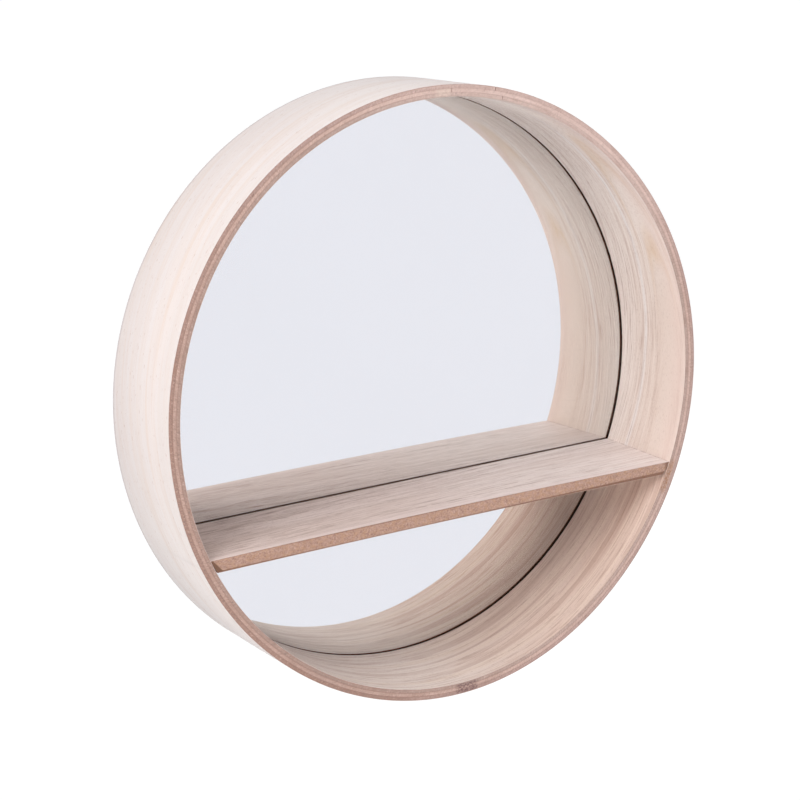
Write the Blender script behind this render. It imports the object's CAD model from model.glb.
"""Finishes the round wall mirror: veneered hoop, glass, back board, shelf and hangers.

Lengths are in metres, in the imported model's own frame: +Z is up, +Y points at the wall, and
the origin lies on the hoop's axis in the plane of its rear rim. Angles round the hoop count
from +X towards +Z.
"""

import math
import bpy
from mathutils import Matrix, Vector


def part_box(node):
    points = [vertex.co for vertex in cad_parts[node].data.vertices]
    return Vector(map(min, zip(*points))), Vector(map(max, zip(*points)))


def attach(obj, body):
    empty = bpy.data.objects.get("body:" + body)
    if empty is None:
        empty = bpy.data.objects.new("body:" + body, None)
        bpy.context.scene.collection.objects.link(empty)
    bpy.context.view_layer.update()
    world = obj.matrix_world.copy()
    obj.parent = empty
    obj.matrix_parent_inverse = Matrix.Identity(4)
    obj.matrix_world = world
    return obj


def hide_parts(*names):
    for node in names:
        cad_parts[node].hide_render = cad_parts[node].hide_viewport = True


bl_info = {
    "name": "Round Mirror with Shelf",
    "version": (1, 0, 0),
    "blender": (4, 5, 0),
    "location": "View3D > Sidebar > Mirror",
    "description": "Finishes a round wall mirror that a laminated hoop with a shelf holds",
    "category": "Object",
}

from collections import namedtuple

import bmesh
import bpy
import numpy as np
from bpy.props import FloatProperty, FloatVectorProperty, IntProperty, PointerProperty
from mathutils import Matrix, Vector

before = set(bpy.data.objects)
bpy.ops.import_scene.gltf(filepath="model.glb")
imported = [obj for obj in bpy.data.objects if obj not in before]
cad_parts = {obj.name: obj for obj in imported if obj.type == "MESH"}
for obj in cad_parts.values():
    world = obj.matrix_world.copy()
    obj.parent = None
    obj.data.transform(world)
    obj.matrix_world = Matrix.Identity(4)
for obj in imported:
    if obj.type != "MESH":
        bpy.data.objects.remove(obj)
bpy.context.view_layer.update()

MM = 0.001
TAU = 2 * math.pi
ORIGIN = (0, 0, 0)


def low(node):
    """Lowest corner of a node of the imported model."""
    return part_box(node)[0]


def high(node):
    """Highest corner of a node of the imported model."""
    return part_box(node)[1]


def middle(node):
    """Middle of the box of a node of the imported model, as x, y and z."""
    return [(lowest + highest) / 2 for lowest, highest in zip(low(node), high(node))]


def reach(node):
    """Largest distance of a node's points from the hoop's axis."""
    points = np.array([vertex.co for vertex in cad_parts[node].data.vertices])
    return round(float(np.hypot(points[:, 0], points[:, 2]).max()), 6)


# The hoop's radii from the outside in, and its depths
HOOP_R = reach("outer_veneer")
OUTER_PLY_R = reach("outer_ply")
CORE_PLY_R = reach("core_ply")
INNER_PLY_R = reach("inner_ply")
INNER_VENEER_R = reach("inner_veneer")
INSIDE_R = INNER_VENEER_R - (HOOP_R - OUTER_PLY_R)
FRONT_Y = low("outer_veneer").y
WALL_Y = high("outer_veneer").y
SHOULDER_Y = high("inner_ply").y

# The stack behind the shoulder
GLASS_R = reach("mirror_glass")
GLASS_BACK_Y = high("mirror_glass").y
SILVER_R = reach("silver_coat")
BOARD_R = reach("back_board")
BOARD_FRONT_Y = low("back_board").y
BOARD_BACK_Y = high("back_board").y

# Depth from the front rim within which sanding has worn it, the waves that it left as
# (number round the hoop, shift), and how far a brad's hole is cut beyond the hoop
SANDED_DEPTH = 4 * MM
RIM_WAVES = ((23, 1.0), (57, 2.3), (131, 0.7))
HOLE_BEYOND = 6 * MM

# The brads
BRAD_HEAD_R = (high("shelf_brads").y - low("shelf_brads").y) / 2
BRAD_END_X = high("shelf_brads").x

# The hangers
HANGER_X, PIVOT_Y, _ = middle("hanger_ring_right")
WIRE_R = (high("hanger_ring_left").y - low("hanger_ring_left").y) / 2
PIVOT_Z = high("hanger_ring_left").z - WIRE_R

# How finely round forms are cut up, and how near two points are when they are welded
CORNER_STEPS = 3
DISC_STEPS = 360
SHELF_STEPS = 64
RIVET_STEPS = 48
BRAD_STEPS = 32
WIRE_STEPS = 24
SHARP_ANGLE = math.radians(22)
WELD_DISTANCE = 0.001 * MM
SHORT_EDGE = 0.0001 * MM

# Places of the two colours and of the result on a Mix node
MIX_FIRST = 6
MIX_SECOND = 7
MIX_COLOUR = 2

# Finishes: a wood fibre's width in millimetres, scratches and dull patches per metre, the
# glass's index, body and front reflection, the white in reflections, and the floor's paint
FIBRE_WIDTH = 0.45
SCRATCH_SCALE = 900.0
DULL_SCALE = 160.0
GLASS_INDEX = 1.52
GLASS_CLEAR = (0.99, 0.993, 0.995)
GLASS_TINT = (0.8, 0.5, 0.35)
COOL_WHITE = (1.0, 1.02, 1.12)
FLOOR_GREY = (0.82, 0.82, 0.82)

# The stage: film width in millimetres, half the floor, and the lamps by name, azimuth and
# elevation in degrees, and size
FILM_WIDTH = 36
FLOOR_REACH = 40.0
LAMP_DISTANCE = 2.3
LAMPS = (
    ("key", -60, 30, 1.0),
    ("high", -70, 50, 1.0),
    ("low", 0, -14, 1.0),
    ("near", -30, -14, 1.0),
    ("top", 0, 45, 1.4),
    ("right", 30, 30, 1.5),
)

# A ply's radii are its inner and outer one, and its tones are the shares of the pale tone at
# the upper right, of the dark tone at the left and of the scorched tone at the lower left.
# A mark on its edge lies at an angle round the hoop and at a radius.
Ply = namedtuple("Ply", "node radii back_y joint colour seed tones marks")
Tones = namedtuple("Tones", "pale dark scorched")
Mark = namedtuple("Mark", "angle half_length radius half_width colour")


def paint(red, green, blue):
    """A colour mixed as 0 to 255 display values, as the linear values that a shader takes."""
    shares = [value / 255 for value in (red, green, blue)]
    return tuple(s / 12.92 if s <= 0.04045 else ((s + 0.055) / 1.055) ** 2.4 for s in shares)


def colour_property(name, description, red, green, blue):
    """A colour that the user can change."""
    return FloatVectorProperty(
        name=name, description=description, default=paint(red, green, blue),
        subtype="COLOR", size=3, min=0, max=1,
    )


def length_property(name, description, millimetres):
    """A length that the user can change."""
    return FloatProperty(
        name=name, description=description, default=millimetres * MM, min=0,
        unit="LENGTH", precision=5,
    )


def angle_property(name, description, degrees):
    """An angle that the user can change."""
    return FloatProperty(
        name=name, description=description, default=math.radians(degrees), subtype="ANGLE",
    )


# ---- Sizes and colours ----


class HoopSettings(bpy.types.PropertyGroup):
    """The laminated hoop: its splice, its rims and its wood."""

    splice_angle: angle_property("Splice angle", "Middle between the joints of the face plies", 77.5)
    splice_step: length_property("Splice step", "From that middle to a joint, along the wall", 4)
    core_splice: angle_property("Core splice", "Where the ends of the core ply meet", 87.9)
    splice_gap: length_property("Splice gap", "Open width of a ply's butt joint", 0.6)
    ply_edge: length_property("Ply edge", "Radius to which the edge of a ply is sanded", 0.14)
    veneer_edge: length_property("Veneer edge", "Radius to which a veneer's edge is sanded", 0.1)
    rim_wear: length_property("Rim wear", "Depth of the sanded unevenness of the front rim", 0.06)
    oval: length_property("Oval", "How far the free front rim has sprung into an oval", 1.0)
    oval_angle: angle_property("Oval angle", "Direction of the oval's long axis", -70)
    bulge: length_property("Bulge", "Extra bulge of the front rim", 2.5)
    bulge_angle: angle_property("Bulge angle", "Middle of the bulge", -84)
    bulge_span: angle_property("Bulge span", "Half the width of the bulge", 52)
    dip: length_property("Dip", "How far the front rim is pressed in over the splice", 1.1)
    dip_angle: angle_property("Dip angle", "Middle of the dip", 80)
    dip_span: angle_property("Dip span", "Half the width of the dip", 62)
    segments: IntProperty(name="Segments", description="Steps round the hoop", default=720, min=90)
    outer_skew: FloatProperty(
        name="Outer skew", description="Slope of the outer face's grain", default=0.09,
    )
    crown_angle: angle_property("Crown angle", "Where the inner wall's arched rings end", 50)
    crown_depth: length_property("Crown depth", "Axis of the arches, behind the front rim", 22)
    outer_light: colour_property("Outer face light", "Early wood of the outer face", 245, 235, 232)
    outer_dark: colour_property("Outer face dark", "Late wood of the outer face", 240, 220, 207)
    outer_white: colour_property("Outer face white", "Bleached wood, top and bottom", 255, 246, 241)
    outer_handled: colour_property("Outer face handled", "Greyer wood at the left", 232, 222, 218)
    outer_line: colour_property("Outer face lines", "Lines and fibres", 228, 203, 190)
    outer_pore: colour_property("Outer face pores", "Pores and specks", 198, 162, 142)
    outer_rear: colour_property("Outer face rear", "Outer face beside the wall", 206, 196, 196)
    inner_light: colour_property("Inner wall light", "Early wood of the inner wall", 242, 229, 221)
    inner_dark: colour_property("Inner wall dark", "Late wood of the inner wall", 227, 208, 197)
    inner_pale: colour_property("Inner wall pale", "Sapwood of the inner wall", 243, 232, 227)
    inner_tan: colour_property("Inner wall tan", "Warm stain in the inner wall", 222, 194, 168)
    inner_sapwood: colour_property("Inner wall sapwood", "Pale ring beside the crown", 246, 241, 240)
    inner_white: colour_property("Inner wall white", "Bleached wood beside the glass", 252, 240, 233)
    inner_rose: colour_property("Inner wall rose", "Inner wall beside the front rim", 226, 200, 190)
    inner_brown: colour_property("Inner wall brown", "Lines in the inner wall", 178, 141, 124)
    inner_warm: colour_property("Inner wall warm", "Wood below the shelf", 214, 180, 162)
    inner_cream: colour_property("Inner wall cream", "Pale streaks below the shelf", 234, 214, 198)
    inner_pore: colour_property("Inner wall pores", "Open pores of the inner wall", 150, 112, 92)
    ply_pale: colour_property("Ply pale", "Palest part of a ply's edge", 210, 184, 176)
    outer_ply: colour_property("Outer ply", "Edge of the outer ply", 172, 144, 136)
    core_ply: colour_property("Core ply", "Edge of the core ply", 192, 162, 151)
    inner_ply: colour_property("Inner ply", "Edge of the inner ply", 172, 148, 139)
    ply_dark: colour_property("Ply dark", "Darkest part of a ply's edge", 150, 117, 103)
    glue: colour_property("Glue line", "Glue between two plies", 132, 98, 86)
    knot: colour_property("Knot", "Knot across the plies, at the bottom", 92, 64, 66)
    fleck: colour_property("Fleck", "Small knot in the outer ply", 110, 74, 58)
    glued: colour_property("Glued place", "Glue pressed out beside the shelf", 150, 106, 74)
    filler: colour_property("Filler", "Filler over the joints, at the top", 208, 188, 176)
    seam: colour_property("Seam", "Dark seam between wood and glass", 40, 14, 5)
    shoulder: colour_property("Shoulder", "Cut shoulder that rests on the glass", 180, 88, 54)
    seam_width: length_property("Seam width", "Dark strip of the wall beside the glass", 0.25)


class MirrorSettings(bpy.types.PropertyGroup):
    """The silvered glass."""

    arris: length_property("Arris", "Ground corner round the glass", 0.4)
    seat_gap: length_property("Seat gap", "Air between the glass and its shoulder", 0.06)
    silver_gap: length_property("Silver gap", "Air between the glass and its silver", 0.02)
    silver: colour_property("Silver", "Colour of the reflection", 234, 232, 229)
    backing: colour_property("Backing paint", "Paint behind the silver", 96, 100, 104)


class ShelfSettings(bpy.types.PropertyGroup):
    """The veneered shelf and its brads."""

    edge: length_property("Edge", "Radius of the shelf's sanded edges", 0.12)
    land: length_property("End land", "Height of the strip that touches the hoop", 1.3)
    relief: length_property("End relief", "Gap at the undercut lower right corner", 3.2)
    left_relief: length_property("Left relief", "Gap at the lower left corner", 0.8)
    curve: FloatProperty(
        name="Curve", description="How strongly the front edge is crowned, per metre", default=0.0295,
    )
    crest: FloatProperty(
        name="Crest", description="Place of the crown along X", default=-0.06, unit="LENGTH",
    )
    light: colour_property("Veneer light", "Early wood of the shelf", 243, 226, 221)
    dark: colour_property("Veneer dark", "Late wood of the shelf", 212, 190, 180)
    bleached: colour_property("Veneer bleached", "Veneer towards the right end", 253, 242, 238)
    pore: colour_property("Veneer pores", "Open pores of the shelf's veneer", 146, 108, 92)
    board: colour_property("Board", "Fibres of the shelf's board", 169, 137, 124)
    board_pale: colour_property("Board pale", "Pale fibres of the board", 192, 161, 147)
    board_ochre: colour_property("Board ochre", "Yellow fibres of the board", 180, 140, 106)
    board_dark: colour_property("Board dark", "Shaded fibres and cut ends", 116, 82, 68)
    edge_brown: colour_property("Veneer edge", "Sanded front edge of a veneer", 158, 126, 110)
    end_seam: colour_property("End seam", "Where a shelf's end meets the hoop", 120, 82, 62)
    wedge: colour_property("Corner shade", "Shade in the lower left corner", 98, 68, 52)
    face_line: colour_property("Face line", "Board beside its veneers", 112, 78, 62)
    brad_shank: length_property("Brad shank", "Diameter of a brad's shank", 1.6)
    brad_head: length_property("Brad head", "Thickness of a brad's head", 0.8)
    brad_edge: length_property("Brad edge", "Radius of a brad head's edge", 0.15)
    steel: colour_property("Brad steel", "Steel of the punched heads", 120, 118, 116)


class BackSettings(bpy.types.PropertyGroup):
    """The back board and its glazing points."""

    edge: length_property("Board edge", "Radius of the back board's edges", 0.25)
    light: colour_property("Board light", "Pale fibres of the back board", 168, 130, 96)
    dark: colour_property("Board dark", "Dark fibres of the back board", 124, 90, 62)
    shives: colour_property("Board shives", "Dark slivers in the back board", 86, 58, 38)
    point_edge: length_property("Point edge", "Radius of a glazing point's stamped edge", 0.12)
    point_reach: length_property("Point reach", "Length of a point over the board", 7)
    point_bite: length_property("Point bite", "Length of a point in the hoop", 5)
    point_tip: length_property("Point tip", "Length of a point's tip", 2)
    point_width: length_property("Point width", "Width of a glazing point", 7)
    point_count: IntProperty(name="Points", description="Number of glazing points", default=8, min=3)
    zinc: colour_property("Zinc", "Plating of the glazing points", 176, 178, 182)


class HangerSettings(bpy.types.PropertyGroup):
    """The two D-ring hangers."""

    sheet: length_property("Sheet", "Thickness of the strap's sheet", 0.7)
    sheet_edge: length_property("Sheet edge", "Radius of the sheet's edges", 0.12)
    play: length_property("Eye play", "Play of the wire in the strap's eye, on the radius", 0.08)
    neck: length_property("Neck bend", "Radius of the bend between eye and leaf", 1)
    strap_width: length_property("Strap width", "Width of the strap", 14)
    ring_corner: length_property("Ring corner", "Radius of the ring's upper corners", 1.8)
    rivet_drop: length_property("Rivet drop", "Distance from the pivot to the rivet", 11)
    rivet_shank: length_property("Rivet shank", "Diameter of a rivet's shank", 3.5)
    rivet_flare: length_property("Rivet flare", "Diameter of a rivet's flared end", 6)
    rivet_flare_depth: length_property("Flare depth", "Depth of a rivet's flared end", 1)
    rivet_head: length_property("Rivet head", "Diameter of a rivet's head", 7)
    brass: colour_property("Strap plating", "Plating of the straps and rivets", 196, 186, 160)
    nickel: colour_property("Ring plating", "Plating of the rings", 200, 198, 194)


class StageSettings(bpy.types.PropertyGroup):
    """Camera, floor and light."""

    azimuth: angle_property("Azimuth", "Direction of the camera; 0 looks along +Y", -31.013)
    elevation: angle_property("Elevation", "Height of the camera above the horizon", 14.104)
    roll: angle_property("Roll", "Turn of the camera about its own axis", -2.230)
    distance: length_property("Distance", "From the camera to the plane of its target", 1614.198)
    aside: FloatProperty(
        name="Aside", description="Camera's own sideways place", default=-0.041681, unit="LENGTH",
    )
    above: FloatProperty(
        name="Above", description="Camera's own upward place", default=-0.001139, unit="LENGTH",
    )
    lens: FloatProperty(name="Lens", description="Focal length in millimetres", default=90.622)
    floor_drop: length_property("Floor", "Depth of the floor below the hoop's axis", 1050)
    key_power: FloatProperty(name="Key light", description="Power in watts", default=26)
    high_power: FloatProperty(name="High light", description="Power in watts", default=7)
    low_power: FloatProperty(name="Low light", description="Power in watts", default=12.5)
    near_power: FloatProperty(name="Near light", description="Power in watts", default=14)
    top_power: FloatProperty(name="Top light", description="Power in watts", default=5.5)
    right_power: FloatProperty(name="Right light", description="Power in watts", default=8)
    ambient: FloatProperty(name="Ambient", description="Strength of the light all round", default=0.28)


# ---- Surfaces ----


def grid_faces(rows, columns):
    """Quads between neighbouring points of a grid that is stored row by row."""
    row, column = np.meshgrid(np.arange(rows - 1), np.arange(columns - 1), indexing="ij")
    corner = (row * columns + column).ravel()
    return np.stack([corner, corner + columns, corner + columns + 1, corner + 1], axis=1)


def rounded_box(x0, x1, y0, y1, radius):
    """Closed outline of a box with rounded corners, as (x, y) points.

    Each corner is a quarter circle: centre + radius (cos t, sin t), with t from one side's
    direction to the next. The last point repeats the first.
    """
    quarter = np.linspace(0, math.pi / 2, CORNER_STEPS + 1)
    centres = [(x1, y1, -1, -1), (x0, y1, 1, -1), (x0, y0, 1, 1), (x1, y0, -1, 1)]
    corners = []
    for turn, (x, y, to_right, to_top) in enumerate(centres):
        angle = quarter + turn * math.pi / 2
        centre = (x + to_right * radius, y + to_top * radius)
        corners.append(np.stack([np.cos(angle), np.sin(angle)], axis=1) * radius + centre)
    outline = np.concatenate(corners)
    return np.concatenate([outline, outline[:1]])


def capped(points):
    """A closed shape of quads between the rows of a grid of points and a flat cap at each
    end; each row's last point repeats its first."""
    rows, columns = points.shape[:2]
    ring = np.arange(columns - 1)
    caps = [ring, (ring + (rows - 1) * columns)[::-1]]
    return points.reshape(-1, 3), [*grid_faces(rows, columns), *caps]


def smooth(mesh):
    """Shades a mesh smooth but for its sharp edges."""
    mesh.shade_smooth()
    mesh.set_sharp_from_angle(angle=SHARP_ANGLE)


def new_mesh(name, points, faces):
    """A mesh whose seams and poles are welded and whose faces point outwards."""
    mesh = bpy.data.meshes.new(name)
    mesh.from_pydata(points.tolist(), [], [list(face) for face in faces])
    work = bmesh.new()
    work.from_mesh(mesh)
    bmesh.ops.remove_doubles(work, verts=work.verts, dist=WELD_DISTANCE)
    bmesh.ops.dissolve_degenerate(work, edges=work.edges, dist=SHORT_EDGE)
    if work.calc_volume(signed=True) < 0:
        bmesh.ops.reverse_faces(work, faces=work.faces)
    work.to_mesh(mesh)
    work.free()
    smooth(mesh)
    return mesh


def add_object(name, data):
    """A new object in the scene."""
    made = bpy.data.objects.new(name, data)
    bpy.context.scene.collection.objects.link(made)
    return made


def add_piece(name, points, faces, material, nodes, slot, body="mirror"):
    """Makes a piece from points and faces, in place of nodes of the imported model."""
    mesh = new_mesh(name, points, faces)
    mesh.materials.append(material)
    piece = add_object(name, mesh)
    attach(piece, body)
    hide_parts(*nodes)
    return piece


def turned(profile, centre, steps, axis="Y"):
    """A profile of (radius, height) points turned about an axis through centre.

    Point = centre + (radius cos t, height, radius sin t) for the axis Y, with t round the
    full circle; for the axis X, height and radius cos t change places.
    """
    profile = np.asarray(profile, float)
    turn = np.linspace(0, TAU, steps + 1)
    radius, height = profile[:, :1], profile[:, 1:]
    across = radius * np.cos(turn)
    along = np.repeat(height, steps + 1, axis=1)
    up = radius * np.sin(turn)
    parts = [across, along, up] if axis == "Y" else [along, across, up]
    points = np.stack(parts, axis=2).reshape(-1, 3) + np.asarray(centre)
    return points, grid_faces(len(profile), steps + 1)


def gather(*shapes):
    """Several (points, faces) shapes as one."""
    points, faces, count = [], [], 0
    for shape_points, shape_faces in shapes:
        points.append(shape_points)
        faces += [np.asarray(face) + count for face in shape_faces]
        count += len(shape_points)
    return np.concatenate(points), faces


def eased(share):
    """A share from 0 to 1, s s (3 - 2 s), which starts and ends level."""
    share = np.clip(share, 0, 1)
    return share ** 2 * (3 - 2 * share)


def sprung(hoop, angle, y):
    """How far the hoop lies outside its true circle at an angle and a depth.

    The sum of an oval, cos 2(a - a0), a smooth bulge and a smooth dip; all fade in a straight
    line from the free front rim to nothing at the wall, where the glass keeps the hoop round.
    """
    oval = hoop.oval * np.cos(2 * (angle - hoop.oval_angle))
    from_bulge = np.abs((angle - hoop.bulge_angle + math.pi) % TAU - math.pi)
    bulge = hoop.bulge * eased(1 - from_bulge / hoop.bulge_span)
    beyond = math.cos(hoop.dip_span)
    dip = hoop.dip * eased((np.cos(angle - hoop.dip_angle) - beyond) / (1 - beyond))
    return (oval + bulge - dip) * y / FRONT_Y


# ---- Shader arithmetic ----


class Socket:
    """An output of a shader node. Arithmetic on it adds Math nodes to the same tree."""

    def __init__(self, tree, output):
        self.tree = tree
        self.output = output

    def add(self, kind, values=None, output=0, **settings):
        """Adds any other node: its settings first, then values or links for its sockets."""
        made = self.tree.nodes.new(kind)
        for name, value in settings.items():
            setattr(made, name, value)
        for key, value in (values or {}).items():
            if isinstance(value, Socket):
                self.tree.links.new(made.inputs[key], value.output)
            else:
                made.inputs[key].default_value = value
        return Socket(self.tree, made.outputs[output])

    def math(self, operation, *others):
        """A Math node with this socket first."""
        values = dict(enumerate((self, *others)))
        return self.add("ShaderNodeMath", values, operation=operation)

    def __add__(self, other):
        return self.math("ADD", other)

    __radd__ = __add__

    def __sub__(self, other):
        return self.math("SUBTRACT", other)

    def __rsub__(self, other):
        return self.math("MULTIPLY", -1.0).math("ADD", other)

    def __mul__(self, other):
        return self.math("MULTIPLY", other)

    __rmul__ = __mul__

    def __truediv__(self, other):
        return self.math("DIVIDE", other)

    def parts(self):
        """The three parts of a vector."""
        made = self.add("ShaderNodeSeparateXYZ", {0: self}).output.node
        return [Socket(self.tree, output) for output in made.outputs]

    def rise(self, start, end):
        """0 below start and 1 above end, smooth between; start may lie above end."""
        values = {"Value": self, "From Min": start, "From Max": end}
        return self.add("ShaderNodeMapRange", values, interpolation_type="SMOOTHSTEP")

    def bell(self, centre, half_width):
        """1 at centre, falling smoothly to 0 at half_width on both sides."""
        return (self - centre).math("ABSOLUTE").rise(half_width, 0.0)

    def around(self, centre, half_width):
        """1 at an angle, falling smoothly to 0 at half_width on both sides, over any joint."""
        return (self - centre).math("COSINE").rise(math.cos(half_width), 1.0)

    def noise(self, *others, detail=2.0, roughness=0.5):
        """Noise over this coordinate and up to two more, all in noise cells."""
        place = dict(enumerate((self, *others)))
        vector = self.add("ShaderNodeCombineXYZ", place)
        values = {"Vector": vector, "Scale": 1.0, "Detail": detail, "Roughness": roughness}
        return self.add("ShaderNodeTexNoise", values)

    def cells(self, length, *others, **look):
        """Noise whose cells are a length in millimetres long on this coordinate.

        Each of the others is a pair of a coordinate and its own cell length, or a plain value
        that picks another pattern.
        """
        scaled = [value[0] / (value[1] * MM) if isinstance(value, tuple) else value
                  for value in others]
        return (self / (length * MM)).noise(*scaled, **look)

    def coated(self, *coats):
        """This colour under coats, the last one on top; each is a plain colour and a share."""
        under = self
        for colour, share in coats:
            values = {"Factor": share, MIX_FIRST: under, MIX_SECOND: rgba(colour)}
            under = self.add("ShaderNodeMix", values, output=MIX_COLOUR, data_type="RGBA")
        return under


def rgba(colour):
    """A linear colour with full alpha."""
    return (*colour[:3], 1.0)


def shaded(colour, factor):
    """A colour made darker or lighter by a factor."""
    return [min(value * factor, 1) for value in colour[:3]]


def mixed(place, first, second, share):
    """Two plain colours mixed by a share, as a new colour."""
    values = {"Factor": share, MIX_FIRST: rgba(first), MIX_SECOND: rgba(second)}
    return place.add("ShaderNodeMix", values, output=MIX_COLOUR, data_type="RGBA")


def start_material(name):
    """An empty Principled material, its shader, and the piece's Object coordinates."""
    material = bpy.data.materials.new(name)
    material.use_nodes = True
    tree = material.node_tree
    shader = tree.nodes["Principled BSDF"]
    place = Socket(tree, tree.nodes.new("ShaderNodeTexCoord").outputs["Object"])
    return material, shader, place


def set_finish(place, shader, colour, roughness, height=None, depth=0.0, **constants):
    """Feeds a Principled shader: what varies is linked, and constants go on its sockets."""
    for name, value in (("Base Color", colour), ("Roughness", roughness)):
        if isinstance(value, Socket):
            place.tree.links.new(shader.inputs[name], value.output)
        else:
            shader.inputs[name].default_value = value
    for name, value in constants.items():
        shader.inputs[name.replace("_", " ")].default_value = value
    if height is not None:
        values = {"Height": height, "Distance": depth, "Strength": 1.0}
        bump = place.add("ShaderNodeBump", values)
        place.tree.links.new(shader.inputs["Normal"], bump.output)


def ray_kinds(tree):
    """1 on a camera ray, 1 on a glossy ray, and 1 on a ray through glass."""
    rays = tree.nodes.new("ShaderNodeLightPath").outputs
    names = "Is Camera Ray", "Is Glossy Ray", "Is Transmission Ray"
    return [Socket(tree, rays[name]) for name in names]


# ---- Wood ----


class HoopPlace:
    """Where a place lies on the hoop, as one bent sheet counts it.

    The angle runs from -180 to 180 degrees and jumps at the sheet's butt joint, so a grain
    laid along it breaks where the sheet's two ends meet. The radius is the one before the
    hoop sprang.
    """

    def __init__(self, place, hoop, joint):
        self.joint = joint
        mapping = {"Vector": place, "Rotation": (0.0, joint + math.pi, 0.0)}
        x, self.y, z = place.add("ShaderNodeMapping", mapping).parts()
        self.angle = z.math("ARCTAN2", x)
        oval = ((self.angle - self.counted(hoop.oval_angle)) * 2.0).math("COSINE") * hoop.oval
        bulge = self.angle.bell(self.counted(hoop.bulge_angle), hoop.bulge_span) * hoop.bulge
        dip = self.near(hoop.dip_angle, hoop.dip_span) * hoop.dip
        self.radius = (x * x + z * z).math("SQRT") - (oval + bulge - dip) * self.y / FRONT_Y

    def counted(self, angle):
        """An angle round the hoop, counted from the sheet's joint."""
        return (angle - self.joint) % TAU - math.pi

    def near(self, angle, half_width):
        """1 at an angle round the hoop, falling smoothly to 0 at half_width on both sides, all
        in radians."""
        return self.angle.around(self.counted(angle), half_width)


def outer_joint(hoop):
    """Angle of the butt joint of the two outer sheets."""
    return hoop.splice_angle + hoop.splice_step / OUTER_PLY_R


def inner_joint(hoop):
    """Angle of the butt joint of the two inner sheets."""
    return hoop.splice_angle - hoop.splice_step / INNER_PLY_R


def ring_place(along, across, length, width, seed):
    """Where a place lies among a crown's growth rings, as a number that grows by one a ring.

    place = along / length + 3 u^4 / (1 + u^3) + drift, with u = |across| / width: the rings
    are blunt arches whose sides run on, almost straight, behind their tops.
    """
    offset = across.math("ABSOLUTE") / width
    cube = offset * offset * offset
    drift = along.cells(130, (across, 50), seed, detail=1.0) - 0.5
    return along / length + cube * offset / (cube + 1.0) * 3.0 + drift * 1.5


def veneer_grain(rings, along, across, seed):
    """Grain of a veneer's face, as masks from 0 to 1: bands, lines, fibres and pores.

    Bands and lines follow the rings; a line is where a noise crosses its middle value.
    Fibres and pores are noise in cells that are long along the grain and narrow across it.
    """
    bands = (rings * 0.9).noise(along / (350 * MM), seed, detail=3.0).rise(0.36, 0.64)
    level = (rings * 3.1).noise(along / (120 * MM), seed + 7.7, detail=3.0, roughness=0.6) - 0.5
    lines = level.math("ABSOLUTE").rise(0.05, 0.0)
    lines = lines * along.cells(50, rings * 2.0, seed + 2.2).rise(0.3, 0.6)
    fibres = along.cells(12, (across, FIBRE_WIDTH), seed + 1.3).rise(0.3, 0.7)
    pores = along.cells(3.5, (across, FIBRE_WIDTH), seed + 5.9, detail=1.0).rise(0.60, 0.72)
    return bands, lines, fibres, pores


def outer_face_material(hoop):
    """Pale veneer whose broad tan streaks run askew, greyer at the wall."""
    material, shader, place = start_material("outer_veneer_finish")
    on = HoopPlace(place, hoop, outer_joint(hoop))
    y = on.y
    along = on.angle * HOOP_R
    drift = along.cells(140, (y, 50), 2.0) - 0.5
    rings = (y + along * hoop.outer_skew) / (8.5 * MM) + drift * 1.6
    bands, lines, fibres, pores = veneer_grain(rings, along, y, 4.0)
    streak = (rings * 0.75).noise(along / (420 * MM), 6.0, detail=3.0).rise(0.50, 0.70)
    bleached = on.near(math.radians(222), 0.7) * 0.9 + on.near(math.radians(90), 0.5) * 0.7
    handled = on.near(math.radians(160), 0.95) * y.rise(-70 * MM, -90 * MM)
    speck = along.cells(6, (y, 1.5), 9.0).rise(0.66, 0.71)
    wood = mixed(place, hoop.outer_light, hoop.outer_dark, streak * 0.65 + bands * 0.2)
    colour = wood.coated(
        (hoop.outer_white, bleached * (0.75 - streak * 0.6)),
        (hoop.outer_handled, handled * 0.55),
        (hoop.outer_line, lines * 0.22 + fibres * 0.06),
        (hoop.outer_pore, pores * 0.12 + speck * 0.5),
        (hoop.outer_rear, y.rise(-3.5 * MM, -1.2 * MM) * 0.6),
        (hoop.outer_ply, sanded_edge(hoop, y) * 0.85),
    )
    set_finish(place, shader, colour, fibres * 0.12 + 0.5, height=fibres * 0.5 - pores,
               depth=0.03 * MM, Specular_IOR_Level=0.35)
    return material


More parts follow.
